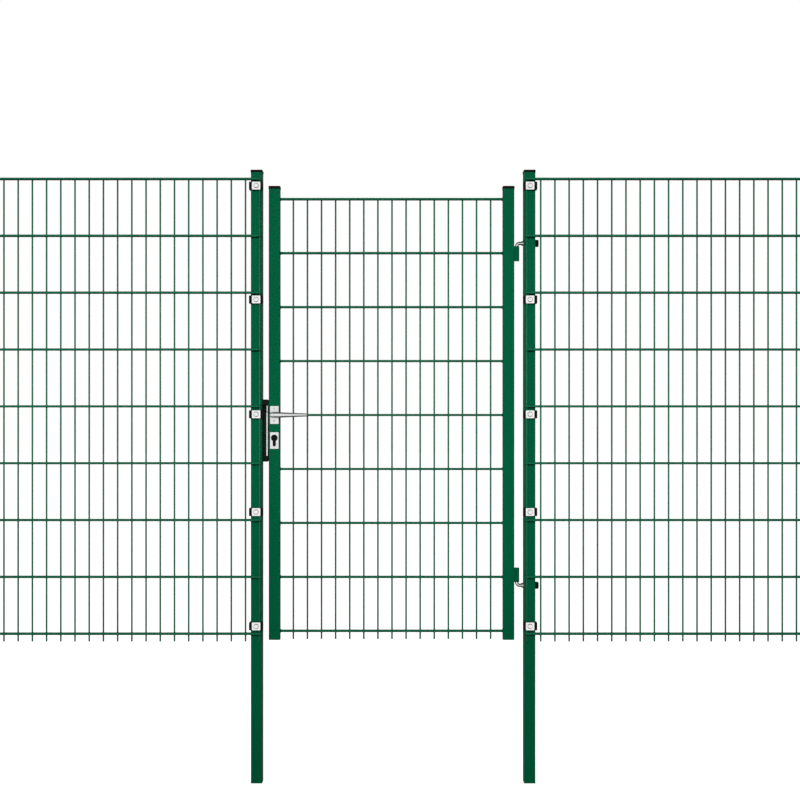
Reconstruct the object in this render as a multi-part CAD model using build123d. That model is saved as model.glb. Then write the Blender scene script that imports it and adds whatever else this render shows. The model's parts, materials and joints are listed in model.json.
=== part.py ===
from build123d import *
import math
import os

# Pedestrian gate in a double-bar mesh fence: two posts set in the ground, a
# stub of fence mat clamped on the front of each post, and one hinged leaf with
# a built-in lock.  Frame: X along the fence (lock side negative), Y through the
# fence (front negative), Z up.  Origin: midway between the posts, on the middle
# plane of the leaf, at the posts' feet.  Millimetres.

# ---------------------------------------------------------------- dimensions
# posts: rectangular tube, narrow side to the front
post_w, post_d, post_wall, post_r = 40.0, 60.0, 2.0, 3.0
post_x = 481.7                      # centre line of each post
post_y0, post_y1 = -40.0, 20.0
post_top = 2155.1
post_cap_lip = 9.0
cap_overhang = 1.0
cap_plug = 22.0

# fence mat: 8/6/8 double bar, 50 x 200 mm
h_dia, v_dia = 8.0, 6.0
bar_off = (h_dia + v_dia) / 2       # bar pair stands this far from the uprights
mat_y = post_y0 - h_dia - v_dia / 2
mat_first_v = 469.3                 # last upright, over the post
mat_pitch = 50.0
mat_count = 21
mat_row0, mat_row_pitch, mat_rows = 529.3, 200.0, 9
mat_spike = 502.0
mat_bar_in, mat_bar_out = 465.0, 1473.6

# clamps that hold the mat on the post
clamp_z = (555.7, 957.7, 1301.3, 1705.2, 2105.5)
saddle_out, saddle_in, saddle_h, saddle_cheek_depth = 25.4, 23.4, 28.9, 14.0   # thinner cheek on the gateway side
saddle_front = mat_y - v_dia / 2 - 0.3
plate_w, plate_h, plate_t = 30.2, 28.5, 2.5
screw_d, screw_head_d, screw_head_t = 8.0, 16.0, 4.6

# leaf: two square stiles and an 8/6/8 mat welded between them
stile = 40.0
stile_wall, stile_r = 2.0, 3.0
lock_stile_x = -420.2
hinge_stile_x = 408.9
stile_z0, stile_z1 = 503.3, 2099.8
stile_cap_lip = 9.9
leaf_row0, leaf_row_pitch, leaf_rows = 533.2, 191.44, 9
leaf_first_v, leaf_v_count = -354.0, 15
leaf_spike = 504.0

# hinges
hinge_x, hinge_y = 437.9, -10.0
hinge_od, hinge_bore, hinge_pin = 18.0, 12.0, 11.9
bend_r = 10.0
top_tube = (1844.0, 1896.7)
top_bolt_z = 1906.7
bottom_tube = (707.0, 758.3)
bottom_bolt_z = 696.0
bolt_end = 511.0

# lock
axis_x, axis_z = -420.2, 1299.2
forend_x = -440.2
forend_t, forend_w = 2.5, 24.0
forend_z = (1158.0, 1350.0)
case_x = (-437.7, -404.2)
case_y = 8.0
case_wall = 1.5
case_z = (1170.0, 1342.0)
plate_half = 15.3
hp_z = (1267.1, 1330.9)
kp_z = (1179.1, 1238.5)
hp_t = 2.5
hp_screw_z = (1277.8, 1321.6)
kp_screw_x, kp_screw_z = 9.0, 1184.0
neck_d = 16.0
lever_y0, lever_y1 = 54.0, 66.0
lever_back, lever_root_x, lever_len = 14.0, 18.0, 118.0
lever_root_r, lever_tip_r = 9.5, 4.8
spindle_sq = 8.0
cyl_z = 1217.8
cyl_d, cyl_slot, cyl_h = 17.4, 10.4, 33.4
kh_d, kh_slot, kh_h = 23.8, 11.4, 42.0
blank_recess = 0.8

# latch and dead bolt
latch_tip, latch_rear = -448.8, -434.7
latch_z = (1308.8, 1332.0)
latch_y = 6.0
latch_travel = 11.0
arm_r = 16.0
bolt_tip, bolt_rear = -439.9, -409.9
bolt_z = (1231.5, 1257.5)
bolt_y = 5.0
bolt_travel = 17.0

# keep on the lock post
keep_x0, keep_x1 = -461.7, -443.0
keep_y0, keep_y1 = -19.0, 27.3
stop_y0 = 20.0                      # the stop strip starts here, behind the block
keep_z = (1133.7, 1354.0)
strike_z = (1154.6, 1331.9)
strike_t = 1.5
strike_x0, strike_x1 = -448.3, -443.8
strip_top = 1307.8                  # the strip stops below the latch, which swings out past it
tab_y0 = 22.3
tab_x1 = -428.5
tabs = ((1136.6, 1175.0), (1242.5, 1262.5), (1335.2, 1352.0))
keep_screw_z = (1145.2, 1343.4)


# ---------------------------------------------------------------- helpers
def block(x0, x1, y0, y1, z0, z1):
    return Pos((x0 + x1) / 2, (y0 + y1) / 2, (z0 + z1) / 2) * Box(x1 - x0, y1 - y0, z1 - z0)


def rod_x(x0, x1, y, z, d):
    return Pos((x0 + x1) / 2, y, z) * Rot(0, 90, 0) * Cylinder(d / 2, abs(x1 - x0))


def rod_y(x, y0, y1, z, d):
    return Pos(x, (y0 + y1) / 2, z) * Rot(90, 0, 0) * Cylinder(d / 2, abs(y1 - y0))


def rod_z(x, y, z0, z1, d):
    return Pos(x, y, (z0 + z1) / 2) * Cylinder(d / 2, abs(z1 - z0))


def hex_x(x0, x1, y, z, af):
    # hexagon prism along X with two flats facing up and down
    h = extrude(RegularPolygon(af / 2, 6, major_radius=False, rotation=0), x1 - x0)
    return Pos(x0, y, z) * Rot(0, 90, 0) * Rot(0, 0, 30) * h


def tube(cx, cy, w, d, wall, r, z0, z1):
    outer = extrude(RectangleRounded(w, d, r), z1 - z0)
    inner = extrude(RectangleRounded(w - 2 * wall, d - 2 * wall, max(r - wall, 0.5)), z1 - z0)
    return Pos(cx, cy, z0) * (outer - inner)


def end_cap(cx, cy, w, d, wall, r, z, lip):
    # lipped plastic cap with a hollow plug that grips inside the tube
    top = extrude(RectangleRounded(w + 2 * cap_overhang, d + 2 * cap_overhang, r + cap_overhang), lip)
    top = fillet(top.edges().group_by(Axis.Z)[-1], 2.2)
    iw, idp = w - 2 * wall, d - 2 * wall
    plug = extrude(RectangleRounded(iw, idp, max(r - wall, 0.5)), -cap_plug)
    plug -= extrude(RectangleRounded(iw - 4, idp - 4, 0.8), -cap_plug)
    return Pos(cx, cy, z) * (top + plug)


def socket_screw(d, length, head_d, head_t, socket_af, socket_depth, dome=1.6):
    # head from z=0 upwards, shank from z=0 downwards
    head = extrude(Circle(head_d / 2), head_t)
    head = fillet(head.edges().group_by(Axis.Z)[-1], dome)
    head -= Pos(0, 0, head_t - socket_depth) * extrude(RegularPolygon(socket_af / 2, 6, major_radius=False), socket_depth + 1)
    shank = Pos(0, 0, -length) * extrude(Circle(d / 2), length)
    shank = chamfer(shank.edges().group_by(Axis.Z)[0], d * 0.1)
    return head + shank


def rivet_nut(bore_d, body_d, length, flange_d, flange_t):
    # flange top at z=flange_t, body downwards, open bore for the screw
    n = extrude(Circle(flange_d / 2), flange_t) + Pos(0, 0, -length) * extrude(Circle(body_d / 2), length)
    n -= Pos(0, 0, -length - 1) * extrude(Circle(bore_d / 2), length + flange_t + 2)
    return n


def to_front(s):
    # local +Z points to the front (-Y)
    return Rot(90, 0, 0) * s


def to_back(s):
    return Rot(-90, 0, 0) * s


def to_right(s):
    # local +Z points to +X
    return Rot(0, 90, 0) * s


def key_shape(d, slot, height, grow=0.0):
    r = d / 2 + grow
    w = slot / 2 + grow
    bottom = -(height - d / 2) - grow
    s = Circle(r) + Pos(0, (bottom + w) / 2) * Rectangle(2 * w, -(bottom + w))
    return s + Pos(0, bottom + w) * Circle(w)


def key_cut(d, slot, height, x, z, y0, y1, grow=0.0):
    s = Plane.XZ * Pos(x, z) * key_shape(d, slot, height, grow)
    return Pos(0, y1, 0) * extrude(s, y1 - y0)


def save(name, shape):
    if isinstance(shape, (list, tuple)):
        shape = Compound(children=list(shape))
    export_step(shape, "parts/" + name + ".step")


os.makedirs("parts", exist_ok=True)
post_yc = (post_y0 + post_y1) / 2

# ---------------------------------------------------------------- posts
for name, sx in (("lock_post", -1), ("hinge_post", 1)):
    p = tube(sx * post_x, post_yc, post_w, post_d, post_wall, post_r, 0, post_top)
    for z in clamp_z:
        p -= rod_y(sx * post_x, post_y0 - 1, post_y0 + post_wall + 1, z, 11.0)
    if sx > 0:
        for z in (top_bolt_z, bottom_bolt_z):
            p -= rod_x(460, 503, hinge_y, z, 12.0)
    else:
        for z in keep_screw_z:
            p -= rod_x(keep_x0 - post_wall - 1, keep_x0 + 1, 0, z, 9.0)
    save(name, p)

save("post_caps", [end_cap(s * post_x, post_yc, post_w, post_d, post_wall, post_r, post_top, post_cap_lip) for s in (-1, 1)])

# ---------------------------------------------------------------- fence mats
mat_row_z = [mat_row0 + mat_row_pitch * k for k in range(mat_rows)]
for side, sx in (("left", -1), ("right", 1)):
    bars = []
    for z in mat_row_z:
        for dy in (-bar_off, bar_off):
            a, b = sorted((sx * mat_bar_in, sx * mat_bar_out))
            bars.append(rod_x(a, b, mat_y + dy, z, h_dia))
    save(side + "_mat_bars", bars)
    save(side + "_mat_uprights",
         [rod_z(sx * (mat_first_v + mat_pitch * k), mat_y, mat_spike, mat_row_z[-1] + 3.5, v_dia) for k in range(mat_count)])

# ---------------------------------------------------------------- clamps
saddles, plates, screws, nuts = [], [], [], []
for sx in (-1, 1):
    for z in clamp_z:
        cx = sx * post_x
        xa, xb = sorted((cx + sx * saddle_out, cx - sx * saddle_in))
        s = block(xa, xb, saddle_front, post_y0 + saddle_cheek_depth, z - saddle_h / 2, z + saddle_h / 2)
        s = fillet(s.edges().filter_by(Axis.Y), 3.0)
        s -= block(cx - post_w / 2, cx + post_w / 2, post_y0, post_y0 + 60, z - 40, z + 40)
        vx = sx * mat_first_v
        s -= block(vx - v_dia / 2, vx + v_dia / 2, saddle_front - 1, mat_y + v_dia / 2, z - 40, z + 40)
        s -= rod_y(cx, saddle_front - 1, post_y0 + 1, z, 8.8)
        s -= rod_y(cx, post_y0 - 1.3, post_y0 + 1, z, 13.4)
        saddles.append(s)
        pl = block(cx - plate_w / 2, cx + plate_w / 2, saddle_front - plate_t, saddle_front, z - plate_h / 2, z + plate_h / 2)
        pl = fillet(pl.edges().filter_by(Axis.Y), 2.5)
        pl = chamfer(pl.faces().sort_by(Axis.Y)[0].edges(), 0.5)
        pl -= rod_y(cx, saddle_front - plate_t - 1, saddle_front + 1, z, 8.6)
        plates.append(pl)
        sc = to_front(socket_screw(screw_d, 30.0, screw_head_d, screw_head_t, 5.0, 2.6))
        screws.append(Pos(cx, saddle_front - plate_t, z) * sc)
        nuts.append(Pos(cx, post_y0, z) * to_front(rivet_nut(8.0, 11.0, 16.0, 13.0, 1.2)))
save("clamp_saddles", saddles)
save("clamp_plates", plates)
save("clamp_screws", screws)
save("clamp_rivet_nuts", nuts)

# ---------------------------------------------------------------- hinges
for name, zb, pin_end in (("hinge_hook_top", top_bolt_z, top_tube[0] + 5.0), ("hinge_hook_bottom", bottom_bolt_z, bottom_tube[1] - 5.0)):
    path = FilletPolyline((hinge_x, hinge_y, pin_end), (hinge_x, hinge_y, zb), (bolt_end, hinge_y, zb), radius=bend_r)
    start = Plane(origin=(hinge_x, hinge_y, pin_end), z_dir=(0, 0, 1 if zb > pin_end else -1))
    hook = sweep(start * Circle(hinge_pin / 2), path=path)
    # tapered lead-in at the end of the pin and at the end of the thread
    hook = chamfer(hook.edges().filter_by(GeomType.CIRCLE).sort_by(Axis.X)[-1], 1.2)
    save(name, hook)

rosettes, washers, out_nuts, nut_caps = [], [], [], []
for z in (top_bolt_z, bottom_bolt_z):
    # flared counter nut that seats on the inner face of the post
    n_pts = [(hinge_pin / 2, 0.0), (12.0, 0.0), (12.0, 1.4), (9.6, 2.6), (7.8, 5.2), (7.2, 9.3), (hinge_pin / 2, 9.3)]
    prof = make_face(Polyline([(a, b) for a, b in n_pts], close=True))
    ring = revolve(Plane.XZ * prof, Axis.Z, 360)
    rosettes.append(Pos(post_x - post_w / 2, hinge_y, z) * Rot(0, -90, 0) * ring)
    xo = post_x + post_w / 2
    washers.append(rod_x(xo, xo + 1.6, hinge_y, z, 20.0) - rod_x(xo - 1, xo + 3, hinge_y, z, hinge_pin))
    out_nuts.append(hex_x(xo + 1.6, xo + 8.6, hinge_y, z, 19.0) - rod_x(xo, xo + 10, hinge_y, z, hinge_pin))
    cap = hex_x(xo, xo + 13.2, hinge_y, z, 24.2)
    cap = chamfer(cap.faces().sort_by(Axis.X)[-1].edges(), 1.8)
    cap -= hex_x(xo - 1, xo + 10.2, hinge_y, z, 20.4)
    cap -= rod_x(xo - 1, xo + 2.0, hinge_y, z, 20.6)
    nut_caps.append(cap)
save("hinge_flared_nuts", rosettes)
save("hinge_washers", washers)
save("hinge_outer_nuts", out_nuts)
save("hinge_nut_caps", nut_caps)

for name, (z0, z1) in (("hinge_tube_top", top_tube), ("hinge_tube_bottom", bottom_tube)):
    t = rod_z(hinge_x, hinge_y, z0, z1, hinge_od)
    t += block(hinge_stile_x + stile / 2, hinge_x - 2, hinge_y - 6.2, hinge_y + 6.2, z0 + 2, z1 - 2)
    t -= rod_z(hinge_x, hinge_y, z0 - 1, z1 + 1, hinge_bore)
    save(name, t)

# ---------------------------------------------------------------- leaf frame
s = tube(lock_stile_x, 0, stile, stile, stile_wall, stile_r, stile_z0, stile_z1)
s -= block(forend_x - 1, forend_x + stile_wall + 1, -forend_w / 2, forend_w / 2, forend_z[0], forend_z[1])
s -= rod_y(axis_x, -25, 25, axis_z, 22.0)
s -= key_cut(cyl_d, cyl_slot, cyl_h, axis_x, cyl_z, -25, 25, grow=1.2)
for z in hp_screw_z:
    s -= rod_y(axis_x, -25, 25, z, 7.0)
for dx in (-kp_screw_x, kp_screw_x):
    s -= rod_y(axis_x + dx, -25, 25, kp_screw_z, 7.0)
save("leaf_lock_stile", s)
save("leaf_hinge_stile", tube(hinge_stile_x, 0, stile, stile, stile_wall, stile_r, stile_z0, stile_z1))
save("leaf_stile_caps", [end_cap(x, 0, stile, stile, stile_wall, stile_r, stile_z1, stile_cap_lip) for x in (lock_stile_x, hinge_stile_x)])

leaf_row_z = [leaf_row0 + leaf_row_pitch * k for k in range(leaf_rows)]
save("leaf_mat_bars",
     [rod_x(lock_stile_x + stile / 2, hinge_stile_x - stile / 2, dy, z, h_dia) for z in leaf_row_z for dy in (-bar_off, bar_off)])
save("leaf_mat_uprights",
     [rod_z(leaf_first_v + mat_pitch * k, 0, leaf_spike, leaf_row_z[-1] + 3.5, v_dia) for k in range(leaf_v_count)])

# ---------------------------------------------------------------- lock case
inner = block(case_x[0] - 1, case_x[1] - case_wall, -case_y - 1, case_y - case_wall, case_z[0] + case_wall, case_z[1] - case_wall)
case = block(case_x[0], case_x[1], -case_y + case_wall, case_y, case_z[0], case_z[1]) - inner
cover = block(case_x[0], case_x[1], -case_y, -case_y + case_wall, case_z[0], case_z[1])
# fixing lugs for the forend screws, inside the top and bottom of the case
lug_z = (case_z[0] - 6.0, case_z[1] + 4.0)
case += block(case_x[0], case_x[0] + 9, -5, 5, case_z[0] - 11.0, case_z[0])
case += block(case_x[0], case_x[0] + 9, -5, 5, case_z[1], case_z[1] + 8.0)
for z in lug_z:
    case -= rod_x(case_x[0] - 1, case_x[0] + 10, 0, z, 4.0)


def lock_holes(b):
    b -= rod_y(axis_x, -25, 25, axis_z, neck_d)
    b -= key_cut(cyl_d, cyl_slot, cyl_h, axis_x, cyl_z, -25, 25)
    for z in hp_screw_z:
        b -= rod_y(axis_x, -25, 25, z, 5.0)
    for dx in (-kp_screw_x, kp_screw_x):
        b -= rod_y(axis_x + dx, -25, 25, kp_screw_z, 5.0)
    return b


save("lock_case", lock_holes(case))
save("lock_case_cover", lock_holes(cover))

fo = block(forend_x, forend_x + forend_t, -forend_w / 2, forend_w / 2, forend_z[0], forend_z[1])
fo -= block(forend_x - 1, forend_x + 5, -latch_y - 0.3, latch_y + 0.3, latch_z[0] - 0.3, latch_z[1] + 0.3)
fo -= block(forend_x - 1, forend_x + 5, -bolt_y - 0.3, bolt_y + 0.3, bolt_z[0] - 0.3, bolt_z[1] + 0.3)
for z in lug_z:
    fo -= rod_x(forend_x - 1, forend_x + 5, 0, z, 4.0)
    fo -= Pos(forend_x + 1.0, 0, z) * Rot(0, 90, 0) * Cone(4.0, 2.0, 2.0)
save("lock_forend", fo)
fs = []
for z in lug_z:
    head = Pos(forend_x + 1.0, 0, z) * Rot(0, 90, 0) * Cone(4.0, 2.0, 2.0)
    sc = head + rod_x(forend_x + 1.9, forend_x + 10.5, 0, z, 4.0)
    sc -= block(forend_x - 1, forend_x + 0.9, -0.5, 0.5, z - 2.4, z + 2.4)
    sc -= block(forend_x - 1, forend_x + 0.9, -2.4, 2.4, z - 0.5, z + 0.5)
    fs.append(sc)
save("forend_screws", fs)

# handle plates and keyhole plates, front and rear
for side, sy in (("front", -1), ("rear", 1)):
    y0, y1 = sorted((sy * stile / 2, sy * (stile / 2 + hp_t)))
    outer_face = 0 if sy < 0 else -1
    hp = block(axis_x - plate_half, axis_x + plate_half, y0, y1, hp_z[0], hp_z[1])
    hp = fillet(hp.edges().filter_by(Axis.Y), 1.2)
    hp = chamfer(hp.faces().sort_by(Axis.Y)[outer_face].edges(), 0.6)
    hp -= rod_y(axis_x, -30, 30, axis_z, neck_d + 0.15)
    for z in hp_screw_z:
        hp -= rod_y(axis_x, -30, 30, z, 5.0)
    save(side + "_handle_plate", hp)
    kp = block(axis_x - plate_half, axis_x + plate_half, y0, y1, kp_z[0], kp_z[1])
    kp = fillet(kp.edges().filter_by(Axis.Y), 1.2)
    kp = chamfer(kp.faces().sort_by(Axis.Y)[outer_face].edges(), 0.6)
    kp -= key_cut(kh_d, kh_slot, kh_h, axis_x, cyl_z, -30, 30)
    if sy < 0:
        # threaded bosses behind the front plate take the screws from the rear
        for dx in (-kp_screw_x, kp_screw_x):
            kp += rod_y(axis_x + dx, -stile / 2, -9.0, kp_screw_z, 6.0) - rod_y(axis_x + dx, -17.5, 0, kp_screw_z, 4.0)
    else:
        for dx in (-kp_screw_x, kp_screw_x):
            kp -= rod_y(axis_x + dx, 0, 30, kp_screw_z, 4.0)
    save(side + "_keyhole_plate", kp)

# two moulded plugs keep the cylinder hole shut until a lock cylinder is fitted
plugs = []
for sy in (-1, 1):
    c0, c1 = sorted((sy * 0.3, sy * (stile / 2 + 0.5)))
    f0, f1 = sorted((sy * stile / 2, sy * (stile / 2 + hp_t - blank_recess)))
    core = key_cut(cyl_d, cyl_slot, cyl_h, axis_x, cyl_z, c0, c1, grow=-0.2)
    flange = key_cut(kh_d, kh_slot, kh_h, axis_x, cyl_z, f0, f1, grow=-0.2)
    plugs.append(core + flange)
save("keyhole_blanks", plugs)

# long screws with sleeve nuts clamp the two handle plates through the case
y_out = stile / 2 + hp_t
hps, hsl = [], []
for z in hp_screw_z:
    hps.append(Pos(axis_x, -y_out, z) * to_front(socket_screw(4.0, 38.0, 7.6, 1.8, 2.5, 1.2, 0.9)))
    sl = to_back(socket_screw(5.0, 30.0, 7.6, 1.8, 2.5, 1.2, 0.9))
    sl -= rod_y(0, -40.0, -0.8, 0, 4.0)
    hsl.append(Pos(axis_x, y_out, z) * sl)
save("handle_plate_screws", hps)
save("handle_plate_sleeve_nuts", hsl)
save("keyhole_plate_screws",
     [Pos(axis_x + dx, y_out, kp_screw_z) * to_back(socket_screw(4.0, 36.0, 7.0, 1.8, 2.5, 1.2, 0.9)) for dx in (-kp_screw_x, kp_screw_x)])

# ---------------------------------------------------------------- handle set
bar2d = Pos(-lever_back + lever_root_r, 0) * Circle(lever_root_r) + Pos(lever_root_x, 0) * Circle(lever_root_r)
bar2d += Pos((lever_root_x - lever_back + lever_root_r) / 2, 0) * Rectangle(lever_root_x + lever_back - lever_root_r, 2 * lever_root_r)
hull2d = make_hull((Pos(lever_root_x, 0) * Circle(lever_root_r)).edges() + (Pos(lever_len - lever_tip_r, 0) * Circle(lever_tip_r)).edges())
lever2d = bar2d + hull2d
for side, sy in (("front", -1), ("rear", 1)):
    lv = extrude(Plane.XZ * lever2d, lever_y1 - lever_y0)
    lv = fillet(lv.edges().filter_by(lambda e: abs(e.bounding_box().size.Y) < 0.01), 3.2)
    yo = -lever_y0 if sy < 0 else lever_y1
    lv = Pos(axis_x, yo, axis_z) * lv
    nk = rod_y(axis_x, sy * (stile / 2 + 0.4), sy * (lever_y0 + 3.5), axis_z, neck_d)
    lv = lv + nk
    lv -= block(axis_x - spindle_sq / 2, axis_x + spindle_sq / 2, min(0, sy * 50.0), max(0, sy * 50.0), axis_z - spindle_sq / 2, axis_z + spindle_sq / 2)
    # threaded hole for the grub screw, from below through the neck
    lv -= rod_z(axis_x, sy * 36.0, axis_z - 12, axis_z - 2, 5.0)
    save(side + "_lever", lv)
save("spindle", block(axis_x - spindle_sq / 2, axis_x + spindle_sq / 2, -50, 50, axis_z - spindle_sq / 2, axis_z + spindle_sq / 2))
gs = []
for sy in (-1, 1):
    g = rod_z(axis_x, sy * 36.0, axis_z - 7.6, axis_z - spindle_sq / 2, 5.0)
    g -= Pos(axis_x, sy * 36.0, axis_z - 7.6) * extrude(RegularPolygon(1.25, 6, major_radius=False), 1.8)
    gs.append(g)
save("lever_grub_screws", gs)

# follower: hub with journals in the case walls and one arm that draws the latch
fw = rod_y(axis_x, -6.2, 6.2, axis_z, 18.0) + rod_y(axis_x, -case_y, case_y, axis_z, neck_d - 0.1)
a0 = math.radians(-20.0)
tip = (axis_x + arm_r * math.sin(a0), axis_z + arm_r * math.cos(a0))
arm = make_hull((Pos(axis_x, axis_z) * Circle(3.5)).edges() + (Pos(tip[0], tip[1]) * Circle(2.5)).edges())
fw += Pos(0, 2.0, 0) * extrude(Plane.XZ * arm, 4.0)
fw -= block(axis_x - spindle_sq / 2, axis_x + spindle_sq / 2, -10, 10, axis_z - spindle_sq / 2, axis_z + spindle_sq / 2)
save("follower", fw)

# ---------------------------------------------------------------- latch
head = block(latch_tip, latch_rear, -latch_y, latch_y, latch_z[0], latch_z[1])
bev = Polyline([(latch_tip - 1, latch_y + 1), (latch_tip - 1, -latch_y + 2.0), (latch_tip, -latch_y + 2.0), (latch_tip + 8.6, latch_y), (latch_tip + 8.6, latch_y + 1)], close=True)
head -= Pos(0, 0, latch_z[0] - 1) * extrude(make_face(bev), latch_z[1] - latch_z[0] + 2)
head = chamfer(head.edges().filter_by(Axis.Y).group_by(Axis.X)[0], 0.6)
spring_z = latch_z[1] - 5.2
head -= rod_x(latch_rear - 12.3, latch_rear + 1, 0, spring_z, 6.0)
tail = block(latch_rear - 1, axis_x, 2.4, 5.4, latch_z[0] + 0.2, 1317.2)
lip = block(-422.9, axis_x, -2.4, 5.4, 1314.4, 1317.2)
save("latch_bolt", head + tail + lip)
coils = 9
pitch = (case_x[1] - case_wall - 0.2 - 1.0 - (-433.4)) / coils
wire = 0.7
hel = Helix(pitch=pitch, height=pitch * coils, radius=1.85)
sp = sweep(Plane(origin=hel @ 0, z_dir=hel % 0) * Circle(wire / 2), path=hel, is_frenet=True)
save("latch_spring", Pos(-433.4 + 0.4, 0, spring_z) * Rot(0, 90, 0) * sp)

# ---------------------------------------------------------------- dead bolt
db = block(bolt_tip, bolt_rear, -bolt_y, bolt_y, bolt_z[0], bolt_z[1])
db = chamfer(db.faces().sort_by(Axis.X)[0].edges(), 0.8)
db -= block(-424.0, -416.5, -20, 20, bolt_z[0] - 1, bolt_z[0] + 5.5)
save("deadbolt", db)

# ---------------------------------------------------------------- keep
kb = block(keep_x0, keep_x1, keep_y0, stop_y0, keep_z[0], keep_z[1])
kb = fillet(kb.edges().filter_by(Axis.Y).group_by(Axis.X)[-1], 3.0)
kstop = block(keep_x0, keep_x1, stop_y0, keep_y1, keep_z[0], keep_z[1])
kstop = fillet(kstop.edges().filter_by(Axis.Y).group_by(Axis.X)[-1], 3.0)
for z0, z1 in tabs:
    kstop += block(keep_x1 - 2, tab_x1, tab_y0, keep_y1, z0, z1)
save("keep_stop", kstop)
# seat for the strike strip in the front face, with a slot for its anchoring leg
kb -= block(strike_x0, strike_x1, keep_y0 - 1, keep_y0 + strike_t, strike_z[0], strike_z[1])
kb -= block(strike_x0, strike_x0 + strike_t, keep_y0, keep_y0 + 9.0, strike_z[0], strike_z[1])
# latch chamber, open to the front, and dead bolt pocket
kb -= block(keep_x0 + 2.0, keep_x1 + 1, keep_y0 - 1, 9.0, strip_top, 1335.2)
kb -= block(keep_x0 + 2.0, keep_x1 + 1, -7.0, 7.0, 1228.0, 1261.0)
for z in keep_screw_z:
    kb -= rod_x(keep_x0 - 1, keep_x1 + 1, 0, z, 6.0)
    kb -= rod_x(keep_x1 - 5.5, keep_x1 + 1, 0, z, 10.4)
    kb -= rod_x(keep_x0 - 1, keep_x0 + 1.0, 0, z, 11.0)
save("keep_body", kb)

st = block(strike_x0, strike_x1, keep_y0, keep_y0 + strike_t, strike_z[0], strip_top)
st += block(strike_x0, strike_x0 + strike_t, keep_y0, keep_y0 + 9.0, strike_z[0], strip_top)
save("keep_strike_plate", st)
save("keep_stop_buffers", [block(-440.5, -430.5, 20.3, tab_y0, z0 + 1.5, z1 - 1.5) for z0, z1 in tabs])
ks, kn = [], []
for z in keep_screw_z:
    ks.append(Pos(keep_x1 - 5.5, 0, z) * to_right(socket_screw(6.0, 26.0, 10.0, 4.2, 4.0, 2.4, 0.8)))
    kn.append(Pos(keep_x0, 0, z) * to_right(rivet_nut(6.0, 9.0, 14.0, 11.0, 1.0)))
save("keep_screws", ks)
save("keep_rivet_nuts", kn)
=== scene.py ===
import json
import math
import random

import bmesh
import bpy
from mathutils import Matrix, Vector


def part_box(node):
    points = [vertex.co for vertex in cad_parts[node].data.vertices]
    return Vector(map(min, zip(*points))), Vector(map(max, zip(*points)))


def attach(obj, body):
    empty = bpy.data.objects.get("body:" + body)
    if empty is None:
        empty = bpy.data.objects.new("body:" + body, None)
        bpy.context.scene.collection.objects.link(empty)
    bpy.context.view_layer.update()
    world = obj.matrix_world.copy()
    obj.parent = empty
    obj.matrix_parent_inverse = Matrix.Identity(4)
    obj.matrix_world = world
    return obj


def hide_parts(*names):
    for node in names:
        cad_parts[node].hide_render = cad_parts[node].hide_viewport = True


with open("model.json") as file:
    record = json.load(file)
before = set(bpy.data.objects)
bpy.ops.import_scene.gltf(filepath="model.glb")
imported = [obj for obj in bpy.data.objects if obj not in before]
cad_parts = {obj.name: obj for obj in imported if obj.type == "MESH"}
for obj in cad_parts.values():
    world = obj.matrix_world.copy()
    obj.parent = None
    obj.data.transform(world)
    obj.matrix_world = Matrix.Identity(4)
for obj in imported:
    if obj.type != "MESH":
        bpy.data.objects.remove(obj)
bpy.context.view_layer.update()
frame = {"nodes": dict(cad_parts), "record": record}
N = frame["nodes"]
MM = 0.001
scene = bpy.context.scene
rnd = random.Random(7)


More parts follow.
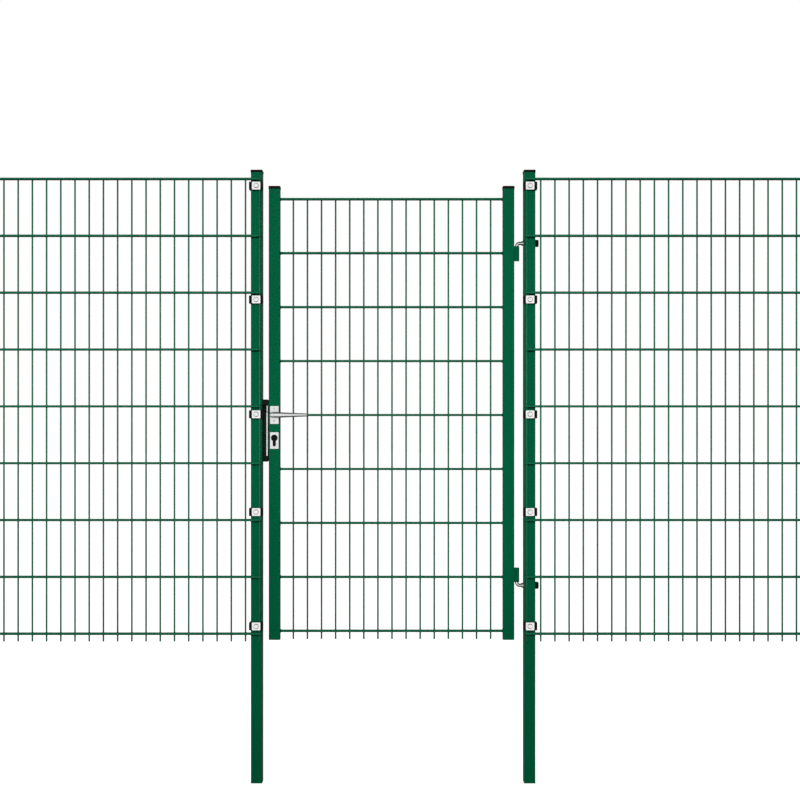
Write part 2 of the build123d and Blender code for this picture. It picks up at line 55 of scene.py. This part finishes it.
# ------------------------------------------------------------------ node helpers
class Mat:
    """A small builder for one procedural material."""

    def __init__(self, name):
        self.m = bpy.data.materials.new(name)
        self.m.use_nodes = True
        self.t = self.m.node_tree
        self.t.nodes.clear()
        self.out = self.t.nodes.new("ShaderNodeOutputMaterial")
        self.b = self.t.nodes.new("ShaderNodeBsdfPrincipled")
        self.link(self.b, "BSDF", self.out, "Surface")
        self.co = self.t.nodes.new("ShaderNodeTexCoord")

    def link(self, a, ao, b, bi):
        self.t.links.new(a.outputs[ao], b.inputs[bi])

    def set(self, **kw):
        names = {"rough": "Roughness", "metal": "Metallic", "spec": "Specular IOR Level", "coat": "Coat Weight",
                 "coat_rough": "Coat Roughness", "aniso": "Anisotropic", "ior": "IOR", "sheen": "Sheen Weight"}
        for k, v in kw.items():
            if k == "base":
                self.b.inputs["Base Color"].default_value = (*v, 1)
            else:
                self.b.inputs[names[k]].default_value = v
        return self

    def coords(self, scale=(1, 1, 1)):
        mp = self.t.nodes.new("ShaderNodeMapping")
        mp.inputs["Scale"].default_value = scale
        self.link(self.co, "Object", mp, "Vector")
        return mp

    def noise(self, scale, detail=2.0, rough=0.5, stretch=(1, 1, 1), dist=0.0):
        n = self.t.nodes.new("ShaderNodeTexNoise")
        n.inputs["Scale"].default_value = scale
        n.inputs["Detail"].default_value = detail
        n.inputs["Roughness"].default_value = rough
        n.inputs["Distortion"].default_value = dist
        self.link(self.coords(stretch), "Vector", n, "Vector")
        return n

    def voronoi(self, scale, stretch=(1, 1, 1), feature="F1"):
        n = self.t.nodes.new("ShaderNodeTexVoronoi")
        n.feature = feature
        n.inputs["Scale"].default_value = scale
        self.link(self.coords(stretch), "Vector", n, "Vector")
        return n

    def ramp(self, src, out, stops):
        r = self.t.nodes.new("ShaderNodeValToRGB")
        e = r.color_ramp.elements
        while len(e) < len(stops):
            e.new(0.5)
        for el, (p, c) in zip(e, stops):
            el.position = p
            el.color = (*c, 1) if len(c) == 3 else c
        self.link(src, out, r, "Fac")
        return r

    def maprange(self, src, out, a, b, c, d):
        m = self.t.nodes.new("ShaderNodeMapRange")
        m.inputs["From Min"].default_value = a
        m.inputs["From Max"].default_value = b
        m.inputs["To Min"].default_value = c
        m.inputs["To Max"].default_value = d
        self.link(src, out, m, "Value")
        return m

    def mix(self, fac, fo, a, ao, b, bo, mode="MIX"):
        m = self.t.nodes.new("ShaderNodeMix")
        m.data_type = "RGBA"
        m.blend_type = mode
        fs, aa, bb = m.inputs[0], m.inputs[6], m.inputs[7]
        if fac is None:
            fs.default_value = fo
        else:
            self.t.links.new(fac.outputs[fo], fs)
        if isinstance(a, tuple):
            aa.default_value = (*a, 1)
        else:
            self.t.links.new(a.outputs[ao], aa)
        if isinstance(b, tuple):
            bb.default_value = (*b, 1)
        else:
            self.t.links.new(b.outputs[bo], bb)
        return m

    def base(self, src, out="Color"):
        self.link(src, out, self.b, "Base Color")

    def rough(self, src, out="Result"):
        self.link(src, out, self.b, "Roughness")

    def bump(self, src, out, strength, distance, prev=None):
        n = self.t.nodes.new("ShaderNodeBump")
        n.inputs["Strength"].default_value = strength
        n.inputs["Distance"].default_value = distance
        self.link(src, out, n, "Height")
        if prev is not None:
            self.link(prev, "Normal", n, "Normal")
        self.last_bump = n
        return n

    def normal(self, n):
        self.link(n, "Normal", self.b, "Normal")


def scaled(c, k):
    return tuple(min(1.0, x * k) for x in c)


def powder(name, base, rough=0.40, spec=0.02, k=1.0):
    # stoved polyester powder: faint orange peel, a fine random mottle like a thin film of dust, small tone drift
    m = Mat(name)
    drift = m.noise(3.2, 3.0, 0.55)
    fine = m.noise(60.0, 2.0, 0.5)
    c1 = m.ramp(drift, "Fac", [(0.30, scaled(base, 0.93)), (0.70, scaled(base, 1.07))])
    c2 = m.ramp(fine, "Fac", [(0.35, (0.966, 0.97, 0.966)), (0.65, (1.0, 1.0, 1.0))])
    col = m.mix(None, 1.0, c1, "Color", c2, "Color", "MULTIPLY")
    m.t.links.new(col.outputs[2], m.b.inputs["Base Color"])
    m.rough(m.maprange(fine, "Fac", 0.3, 0.7, rough - 0.04, rough + 0.05))
    peel = m.noise(520.0, 1.5, 0.5)
    wave = m.noise(110.0, 1.0, 0.4)
    b1 = m.bump(wave, "Fac", 0.14, 0.00015)
    b2 = m.bump(peel, "Fac", 0.22, 0.00006, b1)
    m.normal(b2)
    m.set(spec=spec)
    return m.m


def moulded(name, base, rough=0.5, grain=900.0, depth=0.00005, spec=0.14):
    # injection moulded plastic with a fine spark-eroded grain
    m = Mat(name)
    g = m.noise(grain, 2.0, 0.6)
    blotch = m.noise(22.0, 3.0, 0.6)
    c1 = m.ramp(blotch, "Fac", [(0.30, scaled(base, 0.82)), (0.72, scaled(base, 1.25))])
    m.base(c1)
    m.rough(m.maprange(blotch, "Fac", 0.3, 0.7, rough - 0.06, rough + 0.07))
    b1 = m.bump(g, "Fac", 0.30, depth)
    m.normal(b1)
    m.set(spec=spec)
    return m.m


def brushed(name, base, rough, along, depth=0.00002, tone=0.06):
    # metal with a directional polish along one axis, light smears
    m = Mat(name)
    st = [2600.0, 2600.0, 2600.0]
    st["xyz".index(along)] = 26.0
    lines = m.noise(1.0, 3.0, 0.65, tuple(st))
    smear = m.noise(38.0, 3.0, 0.6)
    c1 = m.ramp(lines, "Fac", [(0.28, scaled(base, 1 - tone)), (0.72, scaled(base, 1 + tone))])
    c2 = m.ramp(smear, "Fac", [(0.30, (0.93, 0.93, 0.94)), (0.70, (1.0, 1.0, 1.0))])
    col = m.mix(None, 1.0, c1, "Color", c2, "Color", "MULTIPLY")
    m.t.links.new(col.outputs[2], m.b.inputs["Base Color"])
    m.rough(m.maprange(smear, "Fac", 0.3, 0.7, rough - 0.05, rough + 0.07))
    b1 = m.bump(lines, "Fac", 0.25, depth)
    m.normal(b1)
    m.set(metal=1.0)
    return m.m


def plated(name, base, rough=0.3):
    # zinc plate: soft bluish and warm blooms, fine grain
    m = Mat(name)
    bloom = m.noise(70.0, 4.0, 0.6, dist=0.6)
    grain = m.noise(1500.0, 2.0, 0.5)
    c1 = m.ramp(bloom, "Fac", [(0.28, (base[0] * 0.86, base[1] * 0.90, base[2] * 0.97)), (0.5, base),
                               (0.74, (min(1, base[0] * 1.08), min(1, base[1] * 1.06), base[2] * 0.98))])
    m.base(c1)
    m.rough(m.maprange(bloom, "Fac", 0.3, 0.7, rough - 0.05, rough + 0.10))
    b1 = m.bump(grain, "Fac", 0.20, 0.00003)
    m.normal(b1)
    m.set(metal=1.0)
    return m.m


def rubbery(name, base):
    m = Mat(name)
    g = m.voronoi(1400.0)
    blot = m.noise(40.0, 3.0, 0.6)
    m.base(m.ramp(blot, "Fac", [(0.3, scaled(base, 0.8)), (0.7, scaled(base, 1.3))]))
    m.rough(m.maprange(blot, "Fac", 0.3, 0.7, 0.72, 0.88))
    m.normal(m.bump(g, "Distance", 0.25, 0.00008))
    m.set(spec=0.3)
    return m.m


GREEN = (0.0004, 0.1095, 0.0462)
GLOSS, ROOM, KEY, SIDE_L, SIDE_R, BACK = 1.15, 0.30, 35.0, 12.0, 3.5, 26.0
mats = {
    "green_post": powder("green_post", GREEN, 0.38),
    "green_leaf": powder("green_leaf", GREEN, 0.38),
    # the mesh wires share the posts' coat; their green is set about 13 % lighter than GREEN as painted highlight,
    # standing in for round wires catching more light than the flat post faces
    "green_mat": powder("green_mat", (0.0024, 0.124, 0.057), 0.34, 0.34),
    "black_cap": moulded("black_cap", (0.0024, 0.0030, 0.0028), 0.46, spec=0.10),
    "black_nut_cap": moulded("black_nut_cap", (0.0024, 0.0030, 0.0028), 0.32, spec=0.9),
    "black_clamp": moulded("black_clamp", (0.0030, 0.0034, 0.0033), 0.52, spec=0.10),
    "black_keep": moulded("black_keep", (0.0040, 0.0046, 0.0044), 0.50, spec=0.16),
    "stainless_plate": brushed("stainless_plate", (0.87, 0.88, 0.88), 0.34, "x"),
    "stainless_clamp": brushed("stainless_clamp", (0.965, 0.965, 0.965), 0.32, "x", 0.00001, 0.02),
    "stainless_clamp_screw": brushed("stainless_clamp_screw", (0.93, 0.93, 0.935), 0.26, "y", 0.00001, 0.03),
    "stainless_screw": brushed("stainless_screw", (0.74, 0.74, 0.75), 0.30, "y"),
    "stainless_bolt": brushed("stainless_bolt", (0.62, 0.62, 0.63), 0.36, "z"),
    "zinc_bolt": plated("zinc_bolt", (0.85, 0.80, 0.77), 0.24),
    "zinc_case": plated("zinc_case", (0.50, 0.51, 0.53), 0.36),
    "alu_lever": brushed("alu_lever", (0.82, 0.82, 0.825), 0.30, "x", 0.00001, 0.03),
    "spring_steel": brushed("spring_steel", (0.33, 0.33, 0.34), 0.3, "x"),
    "black_rubber": rubbery("black_rubber", (0.012, 0.012, 0.012)),
}
slot_of = {s["node"]: s["material_slot"] for s in frame["record"]["subparts"]}
body_for = {}
for b, members in frame["record"]["behaviour"]["bodies"].items():
    for n in members:
        body_for[n] = b
for n, o in N.items():
    o.data.materials.clear()
    o.data.materials.append(mats[slot_of[n]])


# ------------------------------------------------------------------ mesh builders
def ring(bm, centre, u, v, pts):
    return [bm.verts.new(centre + u * a + v * b) for a, b in pts]


def circle(r, seg, phase=0.0):
    return [(r * math.cos(phase + 2 * math.pi * k / seg), r * math.sin(phase + 2 * math.pi * k / seg)) for k in range(seg)]


def skin(bm, rings, cap0=True, cap1=True):
    for a, b in zip(rings, rings[1:]):
        n = len(a)
        for k in range(n):
            bm.faces.new((a[k], a[(k + 1) % n], b[(k + 1) % n], b[k]))
    if cap0:
        bm.faces.new(list(reversed(rings[0])))
    if cap1:
        bm.faces.new(rings[-1])


def basis(d):
    d = Vector(d).normalized()
    h = Vector((0, 0, 1)) if abs(d.z) < 0.9 else Vector((1, 0, 0))
    u = h.cross(d).normalized()
    return u, d.cross(u).normalized(), d


def lathe(bm, origin, d, profile, seg=32, wob=0.0, cap0=True, cap1=True):
    # profile is a list of (distance along d, radius)
    u, v, d = basis(d)
    rings = []
    for t, r in profile:
        pts = circle(r, seg)
        if wob:
            pts = [(a * (1 + rnd.uniform(-wob, wob)), b * (1 + rnd.uniform(-wob, wob))) for a, b in pts]
        rings.append(ring(bm, Vector(origin) + d * t, u, v, pts))
    skin(bm, rings, cap0, cap1)


def rod(bm, p0, p1, r, seg=20, ch=0.0007):
    length = (Vector(p1) - Vector(p0)).length
    lathe(bm, p0, Vector(p1) - Vector(p0),
          [(0, r - ch), (ch * 0.35, r - ch * 0.3), (ch, r), (length - ch, r), (length - ch * 0.35, r - ch * 0.3), (length, r - ch)], seg)


def bead(bm, c, sx, sy, sz, seg=10, rows=5):
    # small pressed weld between two wires, a little uneven
    rings = []
    j = [1 + rnd.uniform(-0.10, 0.10) for _ in range(seg)]
    for i in range(rows):
        t = -1 + 2 * i / (rows - 1)
        k = math.sqrt(max(0.0, 1 - (t * 0.86) ** 2))
        rings.append([bm.verts.new((c[0] + sx * k * j[q] * math.cos(2 * math.pi * q / seg), c[1] + sy * t,
                                    c[2] + sz * k * j[(q + 3) % seg] * math.sin(2 * math.pi * q / seg))) for q in range(seg)])
    skin(bm, rings)


def finish_mesh(name, bm, body, slot, angle=38.0, replace=(), weighted=False, look=None):
    bmesh.ops.recalc_face_normals(bm, faces=bm.faces)
    me = bpy.data.meshes.new(name)
    bm.to_mesh(me)
    bm.free()
    for p in me.polygons:
        p.use_smooth = True
    me.set_sharp_from_angle(angle=math.radians(angle))
    me.materials.append(mats[look or slot])
    o = bpy.data.objects.new(name, me)
    scene.collection.objects.link(o)
    if weighted:
        w = o.modifiers.new("weighted", "WEIGHTED_NORMAL")
        w.keep_sharp = True
        w.weight = 100
    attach(o, body)
    if replace:
        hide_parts(*replace)
    return o


def refined(node, width, segs=2, angle=32.0, name=None, look=None):
    """A copy of a machined or moulded CAD solid with its sharp edges broken."""
    src = N[node].data
    bm = bmesh.new()
    bm.from_mesh(src)
    bmesh.ops.remove_doubles(bm, verts=bm.verts, dist=1e-6)
    bmesh.ops.dissolve_limit(bm, angle_limit=math.radians(0.6), use_dissolve_boundaries=False, verts=bm.verts, edges=bm.edges)
    sharp = [e for e in bm.edges if len(e.link_faces) == 2 and e.calc_face_angle(0.0) > math.radians(angle)]
    bmesh.ops.bevel(bm, geom=sharp, offset=width, offset_type="OFFSET", segments=segs, profile=0.5, affect="EDGES",
                    clamp_overlap=True, loop_slide=True)
    return finish_mesh(name or node + "_finished", bm, body_for[node], slot_of[node], 50.0, (node,), True, look)


# ------------------------------------------------------------------ fence mats
def rows_of(node, axis, tol=0.002):
    """Centres of the separate rods of a CAD node across its length, read from its vertices."""
    co = [v.co.copy() for v in N[node].data.vertices]
    if axis == "x":
        keys = sorted({round(c.z, 4) for c in co})
    else:
        keys = sorted({round(c.x, 4) for c in co})
    out, cur = [], [keys[0]]
    for k in keys[1:]:
        if k - cur[-1] > tol:
            out.append((cur[0] + cur[-1]) / 2)
            cur = [k]
        else:
            cur.append(k)
    out.append((cur[0] + cur[-1]) / 2)
    return out


for side, body in (("left_mat", "posts"), ("right_mat", "posts"), ("leaf_mat", "leaf")):
    hb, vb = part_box(side + "_bars"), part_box(side + "_uprights")
    hr, vr = 0.004, (vb[1][1] - vb[0][1]) / 2
    yb = (hb[0][1] + hr, hb[1][1] - hr)
    yv = (vb[0][1] + vb[1][1]) / 2
    zs, xs = rows_of(side + "_bars", "x"), rows_of(side + "_uprights", "z")
    bm = bmesh.new()
    for z in zs:
        for y in yb:
            rod(bm, (hb[0][0], y, z), (hb[1][0], y, z), hr, 24, 0.0008 if body == "posts" else 0.0001)
    finish_mesh(side + "_bars_drawn", bm, body, slot_of[side + "_bars"], 38.0, (side + "_bars",))
    bm = bmesh.new()
    for x in xs:
        rod(bm, (x, yv, vb[0][2]), (x, yv, vb[1][2]), vr, 20, 0.0009)
    finish_mesh(side + "_uprights_drawn", bm, body, slot_of[side + "_uprights"], 38.0, (side + "_uprights",))
    bm = bmesh.new()
    for x in xs:
        for z in zs:
            for y in yb:
                yc = yv + (y - yv) * (vr / (vr + hr))
                bead(bm, (x, yc, z), 0.0034 + rnd.uniform(-0.0003, 0.0003), 0.0016, 0.0042 + rnd.uniform(-0.0004, 0.0004))
    finish_mesh(side + "_weld_nuggets", bm, body, slot_of[side + "_bars"], 60.0)
    if body == "leaf":
        bm = bmesh.new()
        for z in zs:
            for y in yb:
                for x, d in ((hb[0][0], 1), (hb[1][0], -1)):
                    lathe(bm, (x, y, z), (d, 0, 0), [(0.0, 0.0066), (0.0006, 0.0062), (0.0014, 0.0053), (0.0026, 0.0046), (0.0040, 0.0042)],
                          18, 0.035)
        finish_mesh("leaf_stile_weld_rings", bm, "leaf", "green_leaf", 60.0)

# ------------------------------------------------------------------ hinge welds
for end in ("top", "bottom"):
    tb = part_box("hinge_tube_" + end)
    cx, cy = (tb[0][0] + tb[1][0]) / 2, (tb[0][1] + tb[1][1]) / 2
    bm = bmesh.new()
    for s in (-1, 1):
        rings = []
        z0, z1 = tb[0][2] + 0.0015, tb[1][2] - 0.0015
        n = 44
        for i in range(n + 1):
            t = i / n
            z = z0 + (z1 - z0) * t
            end_k = math.sqrt(max(0.02, 1 - abs(2 * t - 1) ** 14))
            r = (0.0029 + 0.00022 * math.sin(i * 2.1) + rnd.uniform(-0.0001, 0.0001)) * end_k
            c = Vector((tb[0][0] + 0.0016, cy + s * 0.0062, z))
            rings.append(ring(bm, c, Vector((1, 0, 0)), Vector((0, 1, 0)), circle(r, 12)))
        skin(bm, rings)
    finish_mesh("hinge_" + end + "_weld_beads", bm, "leaf", "green_leaf", 70.0)


# ------------------------------------------------------------------ levers
def lever(side, s):
    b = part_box(side + "_lever")
    x0, x1 = b[0][0], b[1][0]
    zc = (b[0][2] + b[1][2]) / 2
    hz = (b[1][2] - b[0][2]) / 2
    yo = b[0][1] if s < 0 else b[1][1]          # outermost face
    yi = yo - s * 0.012
    yw = b[1][1] if s < 0 else b[0][1]          # where the neck meets the plate
    ax = -0.4202
    bm = bmesh.new()
    n, m = 40, 28

    def half(x):
        # half height of the bar at x: round root, long straight taper, round tip
        r0, rt = hz, 0.0054
        xa, xb = x0 + r0, x1 - rt
        if x < xa:
            return math.sqrt(max(0.0, r0 * r0 - (xa - x) ** 2))
        if x > xb:
            return math.sqrt(max(0.0, rt * rt - (x - xb) ** 2))
        t = max(0.0, (x - (ax + 0.012)) / (xb - ax - 0.012))
        t = t * t * (3 - 2 * t) * 0.35 + t * 0.65
        return r0 + (rt - r0) * t

    rings = []
    xs = []
    for i in range(m + 1):
        t = i / m
        xs.append(x0 + (x1 - x0) * (0.5 - 0.5 * math.cos(math.pi * t)))
    for x in xs:
        h = max(half(x), 0.0002)
        end = min(1.0, math.sqrt(max(0.0, 1 - max(0.0, (x0 + 0.006 - x) / 0.006) ** 2)), math.sqrt(max(0.0, 1 - max(0.0, (x - x1 + 0.0045) / 0.0045) ** 2)))
        u = (x - x0) / (x1 - x0)
        depth = (0.012 - 0.0022 * u) * max(0.06, end)
        yc = yo - s * (0.0065 + 0.0006 * u)
        pts = []
        for k in range(n):
            a = 2 * math.pi * k / n
            ca, sa = math.cos(a), math.sin(a)
            e = 0.78
            pz = h * math.copysign(abs(sa) ** e, sa)
            py = depth / 2 * math.copysign(abs(ca) ** e, ca)
            pts.append((py, pz))
        rings.append([bm.verts.new((x, yc + py, zc + pz)) for py, pz in pts])
    skin(bm, rings)
    # neck, with a shallow waist and a collar at the plate
    ln = abs(yi - yw) + 0.004
    rn = 0.008
    lathe(bm, (ax, yw, zc), (0, s, 0), [(0.0, rn - 0.0006), (0.0005, rn), (0.0042, rn), (0.0048, rn - 0.0006), (0.010, rn - 0.0012), (ln * 0.6, rn - 0.0013), (ln - 0.006, rn - 0.0006), (ln, rn)], 36)
    finish_mesh(side + "_lever_cast", bm, "handle", slot_of[side + "_lever"], 40.0, (side + "_lever",))
    bm = bmesh.new()
    xc = x0 + hz
    lathe(bm, (xc, yo - s * 0.0015, zc), (0, s, 0), [(0.0, 0.0061), (0.0008, 0.0061), (0.0012, 0.0058), (0.0014, 0.0046), (0.00145, 0.0020), (0.0014, 0.0004)], 32)
    finish_mesh(side + "_lever_hub_plug", bm, "handle", slot_of["lever_grub_screws"], 40.0)


lever("front", -1)
lever("rear", 1)

# ------------------------------------------------------------------ broken edges on the machined and moulded parts
for node, w, sg in (("clamp_saddles", 0.0009, 3), ("clamp_plates", 0.0005, 2), ("clamp_screws", 0.0004, 2), ("keep_body", 0.0009, 3), ("keep_stop", 0.0009, 3),
                    ("keep_strike_plate", 0.0003, 2), ("lock_forend", 0.0003, 2),
                    ("front_keyhole_plate", 0.00035, 2), ("rear_keyhole_plate", 0.00035, 2), ("keyhole_blanks", 0.0004, 2), ("hinge_nut_caps", 0.0022, 4),
                    ("hinge_outer_nuts", 0.0005, 2), ("hinge_flared_nuts", 0.0004, 2), ("latch_bolt", 0.0003, 2), ("deadbolt", 0.0003, 2),
                    ("handle_plate_screws", 0.0002, 2), ("keep_stop_buffers", 0.0006, 3)):
    refined(node, w, sg, look={"clamp_plates": "stainless_clamp", "clamp_screws": "stainless_clamp_screw"}.get(node))

# thin dark ring under each clamp screw's head: painted shade, a black ring standing in for the shadow round the
# domed head
cs = [v.co.copy() for v in N["clamp_screws"].data.vertices]
cen = []
for sgn in (-1, 1):
    side_v = [c for c in cs if c.x * sgn > 0]
    cxs = (min(c.x for c in side_v) + max(c.x for c in side_v)) / 2
    zs = sorted(c.z for c in side_v)
    start = zs[0]
    last = zs[0]
    for z in zs[1:]:
        if z - last > 0.05:
            cen.append((cxs, (start + last) / 2))
            start = z
        last = z
    cen.append((cxs, (start + last) / 2))
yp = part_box("clamp_plates")[0][1]
bm = bmesh.new()
for x, z in cen:
    loops = []
    for dy, r in ((0.0001, 0.0079), (-0.0006, 0.00795), (-0.0009, 0.0083), (-0.0006, 0.0088), (0.0001, 0.0089)):
        loops.append(ring(bm, Vector((x, yp + dy, z)), Vector((1, 0, 0)), Vector((0, 0, 1)), circle(r, 40)))
    for a, b in zip(loops, loops[1:] + loops[:1]):
        for k in range(40):
            bm.faces.new((a[k], a[(k + 1) % 40], b[(k + 1) % 40], b[k]))
finish_mesh("clamp_screw_painted_shade_rings", bm, "posts", "black_clamp", 60.0)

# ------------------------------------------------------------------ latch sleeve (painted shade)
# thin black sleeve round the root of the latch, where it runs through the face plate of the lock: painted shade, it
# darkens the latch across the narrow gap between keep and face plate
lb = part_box("latch_bolt")
x0 = lb[0][0] + 0.0048
y0, y1, z0, z1 = lb[0][1], lb[1][1], lb[0][2], lb[1][2]
t = 0.00016
bm = bmesh.new()
rings = []
for x, g in ((x0, -0.00005), (x0 + 0.0002, t), (x0 + 0.0038, t), (x0 + 0.0088, t), (x0 + 0.0090, -0.00005)):
    pts = [(y0 - g, z0 - g), (y1 + g, z0 - g), (y1 + g, z1 + g), (y0 - g, z1 + g)]
    if x < x0 + 0.004:
        # the bevelled rear of the nose leaves only this much at the sleeve's front end
        k = (x - (lb[0][0])) / 0.0086
        yb = y0 + 0.002 + (y1 - y0 - 0.002) * min(1.0, k)
        pts = [(y0 - g, z0 - g), (yb + g, z0 - g), (yb + g, z1 + g), (y0 - g, z1 + g)]
    rings.append([bm.verts.new((x, y, z)) for y, z in pts])
skin(bm, rings, False, False)
finish_mesh("latch_painted_shade_sleeve", bm, "latch", "black_clamp", 30.0)

# ------------------------------------------------------------------ studio
cam_data = bpy.data.cameras.new("camera")
cam = bpy.data.objects.new("camera", cam_data)
scene.collection.objects.link(cam)
cam.location = (0.0, -6.051, 1.2813)
cam.rotation_euler = (math.radians(90), 0, 0)
cam_data.sensor_width = 36.0
cam_data.lens = 1705.2 / 800.0 * 36.0
cam_data.shift_x = 6.88 / 800.0
cam_data.shift_y = 20.0 / 800.0
cam_data.clip_end = 200.0
scene.camera = cam

floor_mat = Mat("studio_floor")
fn = floor_mat.noise(0.8, 2.0, 0.5)
floor_mat.base(floor_mat.ramp(fn, "Fac", [(0.3, (0.90, 0.90, 0.90)), (0.7, (0.92, 0.92, 0.92))]))
floor_mat.set(rough=0.9, spec=0.1)
floor_mat.b.inputs["Emission Color"].default_value = (1, 1, 1, 1)
floor_mat.b.inputs["Emission Strength"].default_value = 0.80
bm = bmesh.new()
bmesh.ops.create_grid(bm, x_segments=8, y_segments=8, size=60.0)
me = bpy.data.meshes.new("studio_floor")
bm.to_mesh(me)
bm.free()
floor = bpy.data.objects.new("studio_floor", me)
me.materials.append(floor_mat.m)
scene.collection.objects.link(floor)
floor.visible_diffuse = False
floor.visible_glossy = False

# white surround for the eye; a softer room, bright in a level band, for light and gloss
world = bpy.data.worlds.new("studio")
scene.world = world
world.use_nodes = True
world.cycles.sampling_method = "NONE"
wt = world.node_tree
wt.nodes.clear()
wo = wt.nodes.new("ShaderNodeOutputWorld")
tc = wt.nodes.new("ShaderNodeTexCoord")
sep = wt.nodes.new("ShaderNodeSeparateXYZ")
wt.links.new(tc.outputs["Generated"], sep.inputs[0])


def wmath(op, a, b=None):
    n = wt.nodes.new("ShaderNodeMath")
    n.operation = op
    for i, v in enumerate((a, b)):
        if v is None:
            continue
        if isinstance(v, (int, float)):
            n.inputs[i].default_value = v
        else:
            wt.links.new(v, n.inputs[i])
    return n.outputs[0]


def wrange(v, a, b, c, d):
    n = wt.nodes.new("ShaderNodeMapRange")
    n.interpolation_type = "SMOOTHSTEP"
    for k, x in (("From Min", a), ("From Max", b), ("To Min", c), ("To Max", d)):
        n.inputs[k].default_value = x
    wt.links.new(v, n.inputs["Value"])
    return n.outputs[0]


height = wmath("ABSOLUTE", sep.outputs[2])
band = wrange(height, 0.10, 0.55, 1.0, 0.05)
front = wrange(sep.outputs[1], -0.2, 0.5, 1.0, 0.34)
gloss = wmath("MULTIPLY", wmath("MULTIPLY", band, front), GLOSS)
room = wmath("MULTIPLY", wrange(sep.outputs[2], -0.6, 0.5, 0.55, 1.0), ROOM)
lp = wt.nodes.new("ShaderNodeLightPath")


def background(strength, colour=(1, 1, 1, 1)):
    b = wt.nodes.new("ShaderNodeBackground")
    b.inputs["Color"].default_value = colour
    if isinstance(strength, (int, float)):
        b.inputs["Strength"].default_value = strength
    else:
        wt.links.new(strength, b.inputs["Strength"])
    return b.outputs[0]


def wmix(fac, a, b):
    m = wt.nodes.new("ShaderNodeMixShader")
    wt.links.new(fac, m.inputs[0])
    wt.links.new(a, m.inputs[1])
    wt.links.new(b, m.inputs[2])
    return m.outputs[0]


lit = wmix(lp.outputs["Is Glossy Ray"], background(room), background(gloss))
wt.links.new(wmix(lp.outputs["Is Camera Ray"], lit, background(1.0)), wo.inputs["Surface"])


def area(name, loc, target, size, power, size_y=None, spread=180.0, glossy=False):
    d = bpy.data.lights.new(name, "AREA")
    d.shape = "RECTANGLE"
    d.size = size
    d.size_y = size_y or size
    d.energy = power
    d.spread = math.radians(spread)
    o = bpy.data.objects.new(name, d)
    o.location = loc
    o.rotation_euler = (Vector(target) - Vector(loc)).to_track_quat("-Z", "Y").to_euler()
    o.visible_glossy = glossy
    scene.collection.objects.link(o)
    return o


area("key", (-0.4, -7.9, 3.2), (0, 0, 1.50), 5.0, KEY, 2.0, 34.0)
area("side_left", (-4.2, -2.2, 2.4), (0, 0, 1.4), 2.4, SIDE_L, 2.4)
area("side_right", (4.2, -1.4, 2.2), (0, 0, 1.4), 2.4, SIDE_R, 2.4)
area("back", (0.4, 7.9, 3.4), (0, 0, 1.50), 5.0, BACK, 2.0, 34.0)
scene.view_settings.view_transform = "Standard"
